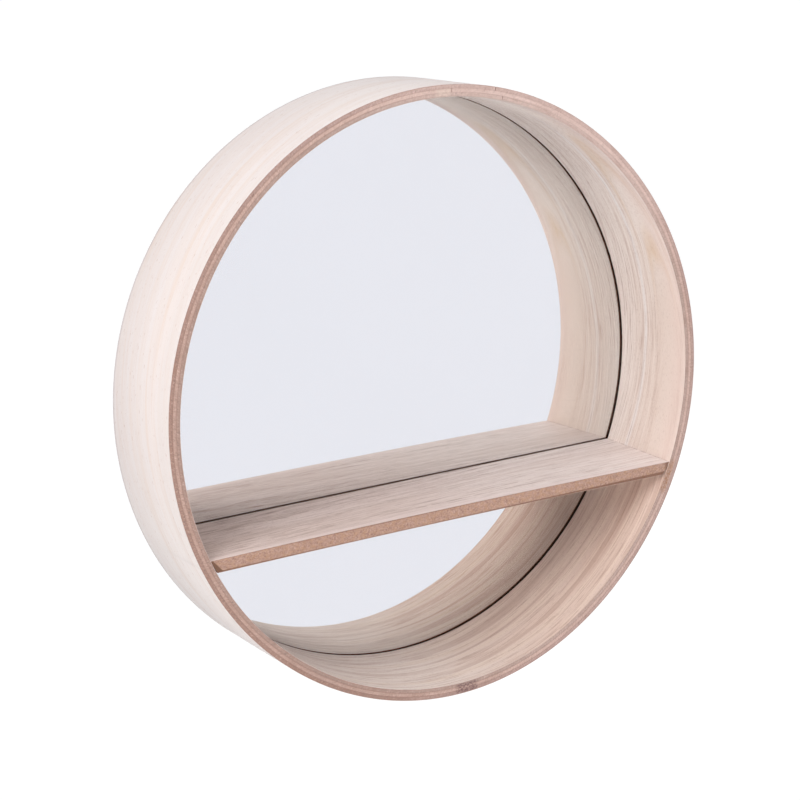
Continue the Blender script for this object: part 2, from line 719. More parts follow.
def inner_wall_material(hoop):
    """Inner wall veneer: a crown of arched rings above the shelf, straight streaks below."""
    material, shader, place = start_material("inner_veneer_finish")
    on = HoopPlace(place, hoop, inner_joint(hoop))
    y = on.y
    along = (on.angle - on.counted(hoop.crown_angle)) * INSIDE_R
    across = y - (FRONT_Y + hoop.crown_depth)
    below = place.parts()[2].math("LESS_THAN", middle("shelf_board")[2])
    above = 1 - below

    # The rings, arched above the shelf and straight below it
    arched = ring_place(along, across, 60 * MM, 16 * MM, 11.0)
    drift = along.cells(250, (y, 60), 31.0, detail=1.0) - 0.5
    straight = (y - along * 0.025) / (7.5 * MM) + drift * 2.5
    rings = arched + (straight - arched) * below
    bands, lines, fibres, pores = veneer_grain(rings, along, y, 11.0)

    # The tone, calm where the arches have their tops and livelier high up
    arch_top = (1 - across.math("ABSOLUTE").rise(4 * MM, 18 * MM)) * above
    calm = 1 - arch_top * (along.rise(-130 * MM, -200 * MM) * 0.35 + 0.5)
    high_wall = on.near(math.radians(66), 0.75)
    tone = bands * calm * (high_wall * 0.4 - below * 0.2 + 0.6) + (1 - calm) * 0.4
    tone = tone + fibres * (high_wall * 0.6 - below * 0.04 + 0.12) - high_wall * 0.3
    tone = tone + on.near(math.radians(-6), 0.55) * 0.5
    wood = mixed(place, hoop.inner_light, hoop.inner_dark, tone)

    # Bleached beside the glass, at the lower left and at the joint
    deep = y.rise(-55 * MM, -14 * MM) * above * 0.5
    low_left = on.near(math.radians(-118), 0.7) * below
    low_left = low_left * (y.rise(-85 * MM, -30 * MM) * 0.45 + 0.5)
    near_joint = on.near(math.radians(71), 0.2) * y.rise(-90 * MM, -80 * MM)

    # Stain in the crown
    at_crown = along.rise(-190 * MM, -120 * MM) * across.bell(0.0, 26 * MM) * above
    cloud = along.cells(30, (y, 12), 19.0, detail=3.0).rise(0.3, 0.6) * 0.5 + 0.5
    stain = (arched.bell(-0.05, 0.6) + arched.bell(-1.85, 0.55)) * at_crown * cloud

    # Warm wood below the shelf, darker right under it, and the streaks in it
    warm = on.near(math.radians(-45), 0.9) * below
    under_shelf = on.near(math.radians(-38), 0.35) * below * y.bell(-68 * MM, 30 * MM)
    streaks = (rings * 0.7).noise(along / (600 * MM), 17.0, detail=3.0, roughness=0.52)
    streaked = below * (1 - low_left * 0.5)

    warm_front = y.rise(FRONT_Y + 28 * MM, FRONT_Y + 3 * MM) * above
    colour = wood.coated(
        (hoop.inner_pale, high_wall * 0.6),
        (hoop.inner_white, deep.math("MAXIMUM", low_left)),
        (hoop.inner_tan, stain * 0.85),
        (hoop.inner_sapwood, arched.bell(2.0, 0.85) * above * 0.6),
        (hoop.inner_white, near_joint * 0.85),
        (hoop.inner_warm, warm * 0.55),
        (hoop.inner_brown, under_shelf * 0.3),
        (hoop.inner_brown, streaked * streaks.rise(0.50, 0.61) * 0.34),
        (hoop.inner_cream, streaked * streaks.rise(0.47, 0.37) * 0.45),
        (hoop.inner_brown, lines * (1 - arch_top * 0.9) * 0.6),
        (hoop.inner_pore, pores * (high_wall * 0.35 + 0.35)),
        (hoop.inner_rose, warm_front * 0.5),
        (hoop.inner_ply, sanded_edge(hoop, y) * 0.6),
        (hoop.seam, seam_mask(along, y, SHOULDER_Y, hoop.seam_width)),
        (hoop.shoulder, shoulder_mask(y, on.radius)),
    )
    set_finish(place, shader, colour, fibres * 0.12 + 0.52, height=fibres * 0.5 - pores,
               depth=0.03 * MM, Specular_IOR_Level=0.3)
    return material


def sanded_edge(hoop, y):
    """1 on the front edge of a face veneer, where sanding has cut through its face."""
    return y.rise(FRONT_Y + hoop.veneer_edge * 2, FRONT_Y + hoop.veneer_edge)


def shoulder_mask(y, radius):
    """1 on the cut shoulder that lies on the glass, as far out as light gets in."""
    return y.rise(SHOULDER_Y - 0.08 * MM, SHOULDER_Y) * radius.rise(INSIDE_R + MM, INSIDE_R)


def seam_mask(along, y, back_y, width):
    """1 in the dark seam along a wood edge that meets the glass; its edge wanders."""
    ragged = (along.cells(4, 3.0, detail=3.0) - 0.5) * (0.7 * MM)
    chip = along.cells(30, 8.0).rise(0.62, 0.75) * (0.5 * MM)
    return (y + ragged + chip).rise(back_y - width, back_y - width + 0.12 * MM)


def inner_wall_x(z):
    """How far the hoop's inner wall lies from its middle plane at a height."""
    return (INSIDE_R ** 2 - z * z).math("SQRT")


def ply_edge_material(ply, hoop):
    """Edge of a ply: cut fibres as short strokes across it, and a tone that changes slowly
    round the hoop between a pale, a middle and a dark one, with the ply's marks on its rim."""
    material, shader, place = start_material(ply.node + "_finish")
    on = HoopPlace(place, hoop, ply.joint)
    y, radius = on.y, on.radius
    inner, outer = ply.radii
    along = on.angle * outer

    # The tone: pale at the upper right, dark at the left, scorched at the lower left
    light = on.near(math.radians(62), math.radians(54))
    light = light + on.near(math.radians(-36), math.radians(60)) * 0.3
    shade = on.near(math.radians(-158), math.radians(92))
    burnt = on.near(math.radians(-117), math.radians(17))
    cloud = along.cells(22, (radius, 8), ply.seed, detail=3.0)
    tone = shade * ply.tones.dark + burnt * ply.tones.scorched + cloud.rise(0.45, 0.75) * 0.3

    # Fibres cut across, and the ply's own thin layers
    slanted = along + radius * 0.4
    stroke = slanted.cells(0.9, (radius, 1.9), (y, 1.9), roughness=0.55)
    tilted = radius + (along * 0.025) * burnt
    layer = along.cells(60, (tilted, 0.7), ply.seed + 4.0).rise(0.35, 0.65)
    strength = shade * 0.25 - light * 0.2 + 0.5

    # Glue along both faces of the ply
    ragged = (along.cells(6, ply.seed) - 0.5) * (0.6 * MM)
    from_face = (radius + ragged - inner).math("MINIMUM", (outer - radius) - ragged)
    glue = from_face.rise(0.7 * MM, 0.1 * MM) * (1 - light * 0.7)

    wood = mixed(place, ply.colour, hoop.ply_pale, light * ply.tones.pale)
    colour = wood.coated(
        (hoop.ply_dark, tone),
        (shaded(ply.colour, 0.5), stroke.rise(0.52, 0.70) * strength),
        (shaded(hoop.ply_pale, 1.5), stroke.rise(0.46, 0.28) * 0.22),
        (shaded(ply.colour, 0.65), layer * (burnt * 0.35 + 0.2)),
        (hoop.glue, glue * 0.32),
    )
    mottle = along.cells(2.1, (radius, 1.0), ply.seed + 9.0).rise(0.42, 0.6)
    on_rim = y.rise(-85 * MM, -95 * MM)
    for mark in ply.marks:
        spot = on.angle.bell(on.counted(mark.angle), mark.half_length / outer).rise(0.0, 0.4)
        spot = spot * (radius + ragged * 2).bell(mark.radius, mark.half_width).rise(0.0, 0.4)
        colour = colour.coated((mark.colour, spot * (mottle * 0.6 + 0.2) * on_rim))
    if ply.back_y == SHOULDER_Y:
        colour = colour.coated(
            (hoop.seam, y.rise(SHOULDER_Y - 0.5 * MM, SHOULDER_Y)),
            (hoop.shoulder, shoulder_mask(y, radius)),
        )
    set_finish(place, shader, colour, stroke * 0.15 + 0.6, height=stroke + layer * 0.4,
               depth=0.05 * MM, Specular_IOR_Level=0.25)
    return material


def shelf_face_material(name, shelf, seam, seed):
    """Shelf veneer: grain along X, brown pores thickest at the rear left, and dark seams
    along the glass and where an end meets the wall."""
    material, shader, place = start_material(name)
    x, y, z = place.parts()
    drift = x.cells(130, (y, 40), seed) - 0.5
    rings = (y - x * 0.05) / (7.5 * MM) + drift * 1.6
    bands, lines, fibres, pores = veneer_grain(rings, x, y, seed)
    streaks = (rings * 1.9).noise(x / (90 * MM), seed + 3.0, detail=3.0, roughness=0.6)
    to_right = x.rise(-60 * MM, 120 * MM)

    # Long pores: dashes in rows along the rings, densest at the rear left
    dense = (y * 4.0 - x).rise(-350 * MM, 0.0)
    row = (rings * 2.6).noise(x / (200 * MM), seed + 6.0, detail=1.0).rise(0.40, 0.60)
    dash = x.cells(20, (y, 1.0), seed + 8.0, detail=1.0).rise(0.50, 0.60)

    # Two broken brown lines that wander along the shelf, near its front
    course = y - x * 0.012 + (x.cells(50, 12.0) - 0.5) * (3 * MM)
    near = course.bell(-83.6 * MM, 1.3 * MM) * x.bell(30 * MM, 110 * MM).rise(0.0, 0.5)
    far = course.bell(-74.2 * MM, 1.1 * MM) * x.bell(65 * MM, 50 * MM).rise(0.0, 0.5)
    dark_lines = (near + far) * x.cells(12, (y, 4), 27.0).rise(0.40, 0.52)

    # Dark broken seams where the ends meet the hoop
    from_end = inner_wall_x(z) - x.math("ABSOLUTE") - x.rise(100 * MM, -100 * MM) * MM
    end_seam = from_end.rise(0.9 * MM, 0.3 * MM) * y.cells(6, seed).rise(0.42, 0.58)

    front_y = low("shelf_top_veneer").y
    wood = mixed(place, shelf.light, shelf.dark, bands * 0.36 + fibres * 0.24 + 0.06)
    colour = wood.coated(
        (shelf.dark, streaks.rise(0.5, 0.62) * 0.25),
        (shelf.bleached, to_right * (1 - bands * 0.4) * 0.7),
        (shelf.pore, lines * 0.32),
        (shelf.pore, dash * row * (dense * 0.3 + 0.26)),
        (shelf.pore, pores * (dense * 0.3 + 0.2)),
        (shelf.pore, dark_lines * 0.55),
        (shelf.light, y.rise(front_y + 9 * MM, front_y + 3 * MM) * 0.5),
        (shelf.end_seam, end_seam * 0.8),
        (shelf.edge_brown, y.rise(front_y + 0.35 * MM, front_y + 0.1 * MM) * 0.8),
        (seam, seam_mask(x, y, SHOULDER_Y, 0.4 * MM)),
    )
    set_finish(place, shader, colour, fibres * 0.12 + 0.5,
               height=fibres * 0.5 - pores - dash * 0.5, depth=0.04 * MM,
               Specular_IOR_Level=0.3)
    return material


def fibreboard_material(shelf):
    """Bare fibreboard: pink and ochre specks, and darker strips where it was cut."""
    material, shader, place = start_material("shelf_board_finish")
    x, y, z = place.parts()
    speck = x.cells(1.3, (y, 1.3), (z, 1.1), detail=3.0, roughness=0.7)
    tuft = x.cells(4, (y, 4), (z, 3)).rise(0.4, 0.66)

    # Shade at the right end, in the lower left corner and along both veneers
    end_x = high("shelf_board").x
    top, bottom = high("shelf_board").z, low("shelf_board").z
    from_left = inner_wall_x(z) + x
    wedge = (from_left - (top - z) * 0.42).rise(3.3 * MM, 2.2 * MM)
    ragged = (x.cells(3, 5.0, detail=3.0) - 0.5) * (0.8 * MM)
    from_face = (z - bottom).math("MINIMUM", top - z) + ragged

    board = mixed(place, shelf.board, shelf.board_pale, speck.rise(0.5, 0.3))
    colour = board.coated(
        (shelf.board_dark, speck.rise(0.5, 0.68) * 0.6),
        (shelf.board_ochre, tuft * 0.4),
        (shelf.board_dark, x.rise(100 * MM, -150 * MM) * 0.09),
        (shelf.board_dark, x.rise(end_x - 6.5 * MM, end_x - 4.5 * MM) * 0.7),
        (shelf.wedge, wedge * 0.85),
        (shelf.face_line, from_face.rise(0.8 * MM, 0.1 * MM) * 0.75),
    )
    set_finish(place, shader, colour, speck * 0.1 + 0.75, height=speck + tuft * 0.5,
               depth=0.12 * MM, Specular_IOR_Level=0.2)
    return material


def back_board_material(back):
    """Hardboard: smooth brown face with matted fibres, slightly clouded."""
    material, shader, place = start_material("back_board_finish")
    x, y, z = place.parts()
    cloud = x.cells(90, (z, 70), detail=3.0).rise(0.3, 0.7)
    mat = x.cells(3.5, (y, 3.5), (z, 3.5), detail=4.0, roughness=0.7).rise(0.35, 0.68)
    shives = x.cells(4, (z, 0.6), (y, 4)).rise(0.62, 0.7)
    board = mixed(place, back.light, back.dark, cloud * 0.35 + mat * 0.5)
    colour = board.coated((back.shives, shives * 0.5))
    set_finish(place, shader, colour, mat * 0.2 + 0.42, height=mat + shives * 0.5,
               depth=0.05 * MM, Specular_IOR_Level=0.4)
    return material


# ---- Metal, glass and white ----


def metal_material(name, colour, seed, roughness):
    """Plated metal: fine scratches and dull patches over an even plating."""
    material, shader, place = start_material(name)
    x, y, z = place.parts()
    fine = [value * SCRATCH_SCALE for value in (x, y, z)]
    scratch = fine[0].noise(fine[1], fine[2] * 0.15 + seed).rise(0.35, 0.7)
    broad = [value * DULL_SCALE for value in (x, y, z)]
    dull = broad[0].noise(*broad[1:]).rise(0.35, 0.7)
    tone = mixed(place, colour, shaded(colour, 0.72), dull * 0.6 + scratch * 0.2)
    set_finish(place, shader, tone, roughness + dull * 0.15 + scratch * 0.08,
               height=scratch, depth=0.01 * MM, Metallic=1.0)
    return material


def studio_white(glossy, through):
    """White to the camera, and a faintly cool white to reflections."""
    return mixed(glossy, (1.0, 1.0, 1.0), COOL_WHITE, glossy.math("MAXIMUM", through))


def glass_material():
    """Clear float glass, whose front face mirrors the wood of the hoop a little warmly."""
    material, shader, place = start_material("glass_finish")
    x, _, z = place.parts()
    smear = x.cells(120, (z, 80)).rise(0.3, 0.8)
    set_finish(place, shader, rgba(GLASS_CLEAR), smear * 0.004, IOR=GLASS_INDEX,
               Transmission_Weight=1.0, Specular_Tint=rgba(GLASS_TINT))
    return material


def silver_material(mirror):
    """Silver in front, seen through the glass, and grey backing paint behind."""
    material, shader, place = start_material("silver_finish")
    x, y, z = place.parts()
    front = y.rise(GLASS_BACK_Y + 0.06 * MM, GLASS_BACK_Y + 0.04 * MM)
    veil = x.cells(200, (z, 200)).rise(0.3, 0.7)
    silver = mixed(place, mirror.silver, shaded(mirror.silver, 0.93), veil * 0.12)
    colour = silver.coated((mirror.backing, 1 - front))
    place.tree.links.new(shader.inputs["Metallic"], front.output)
    set_finish(place, shader, colour, 0.5 - front * 0.495)
    return material


# ---- Operators ----


def bent_layer(hoop, radii, back_y, joint, edge, recess):
    """One bent layer of the hoop, from one side of its butt joint round to the other.

    Point = (r cos a, y, r sin a): (r, y) runs round a rounded box that sprung() moves in or
    out, and a runs from the joint plus half its gap to the joint less half its gap, a full
    turn on. recess gives how far the front rim lies back at each angle, and fades out over
    the sanded depth.
    """
    inner, outer = radii
    half_gap = hoop.splice_gap / 2 / outer
    angle = np.linspace(joint + half_gap, joint + TAU - half_gap, hoop.segments + 1).round(9)
    outline = rounded_box(inner, outer, FRONT_Y, back_y, edge)
    radius, depth = outline[:, 0], outline[:, 1]
    near_front = np.clip(1 - (depth - FRONT_Y) / SANDED_DEPTH, 0, 1) ** 2
    angle = angle[:, None]
    y = depth + recess(angle) * near_front
    radius = radius + sprung(hoop, angle, depth)
    return capped(np.stack([np.cos(angle) * radius, y, np.sin(angle) * radius], axis=2))


def sanded_rim(wear, seed):
    """How unevenly a rim was sanded: a sum of sines round the hoop, from 0 to wear."""
    def recess(angle):
        waves = [np.sin(angle * count + seed * shift) for count, shift in RIM_WAVES]
        return wear * (sum(waves) / len(waves) + 1) / 2
    return recess


def brad_places(hoop):
    """Each brad's side, the outer end of its head, and the middle of its axis."""
    _, y, z = middle("shelf_brads")
    places = []
    for side in (-1, 1):
        angle = math.atan2(z, side * BRAD_END_X)
        places.append((side, BRAD_END_X + float(sprung(hoop, angle, y)), (0, y, z)))
    return places


def brad_cutters(hoop):
    """A short cylinder for each brad, from its head out past the hoop."""
    cutters = []
    for side, end, centre in brad_places(hoop):
        near, far = side * end, side * (end + HOLE_BEYOND)
        profile = [(0, near), (BRAD_HEAD_R, near), (BRAD_HEAD_R, far), (0, far)]
        cutters.append(turned(profile, centre, BRAD_STEPS, "X"))
    return gather(*cutters)


def drill(piece, points, faces):
    """Cuts a closed shape out of a piece and leaves a plain mesh."""
    cutter = add_object("cutter", new_mesh("cutter", points, faces))
    hole = piece.modifiers.new("brad holes", "BOOLEAN")
    hole.operation = "DIFFERENCE"
    hole.solver = "EXACT"
    hole.object = cutter
    graph = bpy.context.evaluated_depsgraph_get()
    cut = bpy.data.meshes.new_from_object(piece.evaluated_get(graph))
    piece.modifiers.clear()
    piece.data = cut
    smooth(cut)
    bpy.data.objects.remove(cutter)


class MIRROR_OT_veneers(bpy.types.Operator):
    """Bend the face veneers round the outside and the inside of the hoop"""

    bl_idname = "mirror.veneers"
    bl_label = "Face veneers"

    def execute(self, context):
        hoop = context.scene.mirror_hoop
        outer = bent_layer(hoop, (OUTER_PLY_R, HOOP_R), WALL_Y, outer_joint(hoop),
                           hoop.veneer_edge, sanded_rim(hoop.rim_wear, 1.0))
        piece = add_piece("outer_veneer_skin", *outer, outer_face_material(hoop),
                          ["outer_veneer"], "face_veneer")
        drill(piece, *brad_cutters(hoop))
        inner = bent_layer(hoop, (INSIDE_R, INNER_VENEER_R), SHOULDER_Y, inner_joint(hoop),
                           hoop.veneer_edge, sanded_rim(hoop.rim_wear, 2.0))
        add_piece("inner_veneer_skin", *inner, inner_wall_material(hoop),
                  ["inner_veneer"], "face_veneer")
        return {"FINISHED"}


class MIRROR_OT_plies(bpy.types.Operator):
    """Bend the three plies of the hoop, with sanded rims and a knot, glue and filler in them"""

    bl_idname = "mirror.plies"
    bl_label = "Plies"

    def execute(self, context):
        hoop = context.scene.mirror_hoop
        knot = Mark(math.radians(-88.7), 14 * MM, 245.4 * MM, 5.6 * MM, hoop.knot)
        fleck = Mark(math.radians(133), 3 * MM, 247.6 * MM, 0.6 * MM, hoop.fleck)
        glued = Mark(math.radians(-25.6), 20 * MM, 242.6 * MM, 4.6 * MM, hoop.glued)
        filler = Mark(math.radians(89.8), 9 * MM, 244.2 * MM, 4.5 * MM, hoop.filler)
        plies = [
            Ply("outer_ply", (CORE_PLY_R, OUTER_PLY_R), WALL_Y, outer_joint(hoop),
                hoop.outer_ply, 5.0, Tones(0.62, 0.78, 0.3), [knot, fleck]),
            Ply("core_ply", (INNER_PLY_R, CORE_PLY_R), WALL_Y, hoop.core_splice,
                hoop.core_ply, 8.0, Tones(1.0, 0.45, 0.0), [knot, glued, filler]),
            Ply("inner_ply", (INNER_VENEER_R, INNER_PLY_R), SHOULDER_Y, inner_joint(hoop),
                hoop.inner_ply, 13.0, Tones(0.62, 0.5, 0.15), [knot, glued, filler]),
        ]
        for rim_seed, ply in enumerate(plies, 3):
            shape = bent_layer(hoop, ply.radii, ply.back_y, ply.joint, hoop.ply_edge,
                               sanded_rim(hoop.rim_wear, rim_seed))
            material = ply_edge_material(ply, hoop)
            piece = add_piece(ply.node + "_bent", *shape, material, [ply.node], ply.node)
            if ply.node == "outer_ply":
                drill(piece, *brad_cutters(hoop))
        return {"FINISHED"}


class MIRROR_OT_glass(bpy.types.Operator):
    """Lay the glass against its shoulder and the silver on its back"""

    bl_idname = "mirror.glass"
    bl_label = "Silvered glass"

    def execute(self, context):
        mirror = context.scene.mirror_glass
        front = SHOULDER_Y + mirror.seat_gap
        back = GLASS_BACK_Y
        cut = mirror.arris
        glass = turned([(0, front), (GLASS_R - cut, front), (GLASS_R, front + cut),
                        (GLASS_R, back - cut), (GLASS_R - cut, back), (0, back)],
                       ORIGIN, DISC_STEPS)
        add_piece("glass_disc", *glass, glass_material(), ["mirror_glass"], "glass")
        front = GLASS_BACK_Y + mirror.silver_gap
        back = BOARD_FRONT_Y
        silver = turned([(0, front), (SILVER_R, front), (SILVER_R, back), (0, back)],
                        ORIGIN, DISC_STEPS)
        add_piece("silver_film", *silver, silver_material(mirror), ["silver_coat"], "silver")
        return {"FINISHED"}


class MIRROR_OT_back(bpy.types.Operator):
    """Press the back board on the glass and drive the glazing points into the hoop"""

    bl_idname = "mirror.back"
    bl_label = "Back board and points"

    def execute(self, context):
        back = context.scene.mirror_back
        quarter = np.linspace(0, math.pi / 2, CORNER_STEPS + 1)
        corner = np.stack([np.sin(quarter), 1 - np.cos(quarter)], axis=1) * back.edge
        front_corner = corner + (BOARD_R - back.edge, BOARD_FRONT_Y)
        rear_corner = (corner * (1, -1) + (BOARD_R - back.edge, BOARD_BACK_Y))[::-1]
        profile = np.concatenate([[(0, BOARD_FRONT_Y)], front_corner, rear_corner,
                                  [(0, BOARD_BACK_Y)]])
        add_piece("back_board_panel", *turned(profile, ORIGIN, DISC_STEPS),
                  back_board_material(back), ["back_board"], "back_board")
        points = [self.glazing_point(back, (index + 0.5) * TAU / back.point_count)
                  for index in range(back.point_count)]
        add_piece("glazing_points_stamped", *gather(*points),
                  metal_material("zinc_finish", back.zinc, 1.0, 0.34),
                  ["glazing_points"], "steel")
        return {"FINISHED"}

    def glazing_point(self, back, angle):
        """A flat point with rounded edges: its outline, drawn in by 1 - cos t of the edge
        radius at each level, carried from the board's face to its own rear face."""
        half = back.point_width / 2
        shoulder = back.point_bite - back.point_tip
        outline = np.array([(-back.point_reach, -half), (shoulder, -half), (back.point_bite, 0),
                            (shoulder, half), (-back.point_reach, half)])
        inwards = (outline.mean(axis=0) - outline) / half
        thickness = high("glazing_points").y - low("glazing_points").y
        quarter = np.linspace(0, math.pi / 2, CORNER_STEPS + 1)
        drawn_in = back.point_edge * (1 - np.sin(quarter))
        risen = back.point_edge * (1 - np.cos(quarter))
        inset = np.concatenate([drawn_in, drawn_in[::-1]])
        level = np.concatenate([risen, (thickness - risen)[::-1]])
        flat = outline[None] + inwards[None] * inset[:, None, None]
        outwards = INNER_PLY_R + flat[:, :, 0]
        aside = flat[:, :, 1]
        x = outwards * math.cos(angle) - aside * math.sin(angle)
        z = outwards * math.sin(angle) + aside * math.cos(angle)
        y = np.repeat(BOARD_BACK_Y + level[:, None], len(outline), axis=1)
        points = np.stack([x, y, z], axis=2)
        return capped(np.concatenate([points, points[:, :1]], axis=1))


class MIRROR_OT_shelf(bpy.types.Operator):
    """Wedge the veneered shelf between the hoop's walls"""

    bl_idname = "mirror.shelf"
    bl_label = "Shelf"

    def execute(self, context):
        shelf = context.scene.mirror_shelf
        hoop = context.scene.mirror_hoop
        top = shelf_face_material("shelf_top_finish", shelf, hoop.seam, 21.0)
        bottom = shelf_face_material("shelf_bottom_finish", shelf, hoop.seam, 34.0)
        layers = [
            ("shelf_top_veneer", top, "shelf_veneer"),
            ("shelf_board", fibreboard_material(shelf), "shelf_board"),
            ("shelf_bottom_veneer", bottom, "shelf_veneer"),
        ]
        for name, material, slot in layers:
            shape = self.layer(hoop, shelf, name)
            add_piece(name + "_cut", *shape, material, [name], slot)
        return {"FINISHED"}

    def layer(self, hoop, shelf, node):
        """A rounded box in Y and Z, carried along X from one end of the shelf to the other.

        The end at height z lies on the hoop's inner circle, x = sqrt(r r - z z), down to the
        foot of the land, and on a straight line to the relieved foot below it. The front edge
        is crowned: it hangs by curve (x - crest)^2, which fades out towards the wall. Both
        ends follow the hoop where it has sprung.
        """
        box_low, box_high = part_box(node)
        front, back = box_low.y, box_high.y
        loop = rounded_box(front, back, box_low.z, box_high.z, shelf.edge)[:-1]
        y, z = np.roll(loop, -CORNER_STEPS - 1, axis=0).T
        top = high("shelf_top_veneer").z
        bottom = low("shelf_bottom_veneer").z
        land_z = top - shelf.land
        land_x = math.sqrt(INSIDE_R ** 2 - land_z ** 2)
        share = np.linspace(0, 1, SHELF_STEPS + 1)[:, None]
        ends = []
        for side, relief in ((-1, shelf.left_relief), (1, shelf.relief)):
            foot_x = math.sqrt(INSIDE_R ** 2 - bottom ** 2) - relief
            undercut = foot_x + (land_x - foot_x) * (z - bottom) / (land_z - bottom)
            inside = INSIDE_R + sprung(hoop, math.atan2(top, side * land_x), y)
            hang = self.hang(shelf, side * land_x, y)
            on_circle = np.sqrt(inside ** 2 - (z - hang) ** 2)
            land_end = np.sqrt(inside ** 2 - (land_z - hang) ** 2)
            ends.append(side * np.where(z > land_z, on_circle, undercut + land_end - land_x))
        x = ends[0] + share * (ends[1] - ends[0])
        y = np.repeat(y[None], len(share), axis=0)
        points = np.stack([x, y, z - self.hang(shelf, x, y)], axis=2)
        points = np.concatenate([points, points[:, :1]], axis=1)
        rows, columns = points.shape[:2]
        faces = list(grid_faces(rows, columns))
        last = columns - 2
        for index in range((columns - 1) // 2 - 1):
            near = [index, index + 1, last - index - 1, last - index]
            faces.append(near)
            faces.append([corner + (rows - 1) * columns for corner in near[::-1]])
        return points.reshape(-1, 3), faces

    def hang(self, shelf, x, y):
        """How far the shelf lies below its level place."""
        return shelf.curve * (x - shelf.crest) ** 2 * y / FRONT_Y


class MIRROR_OT_brads(bpy.types.Operator):
    """Drive the punched brads through the hoop into the shelf's ends"""

    bl_idname = "mirror.brads"
    bl_label = "Brads"

    def execute(self, context):
        shelf = context.scene.mirror_shelf
        brads = [self.brad(shelf, *place) for place in brad_places(context.scene.mirror_hoop)]
        add_piece("brads_driven", *gather(*brads),
                  metal_material("brad_finish", shelf.steel, 3.0, 0.45),
                  ["shelf_brads"], "steel")
        return {"FINISHED"}

    def brad(self, shelf, side, end, centre):
        """A turned nail: dished head, shank and pointed tip, from its outer end inwards."""
        inner_end = min(abs(v.co.x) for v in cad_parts["shelf_brads"].data.vertices)
        head_r = BRAD_HEAD_R
        shank_r = shelf.brad_shank / 2
        length = BRAD_END_X - inner_end
        edge = shelf.brad_edge
        profile = [(0, -edge), (head_r * 0.5, -edge), (head_r * 0.75, 0), (head_r - edge, 0),
                   (head_r, -edge), (head_r, edge - shelf.brad_head),
                   (shank_r, -shelf.brad_head), (shank_r, shank_r * 3 - length), (0, -length)]
        placed = [(radius, side * (end + height)) for radius, height in profile]
        return turned(placed, centre, BRAD_STEPS, "X")


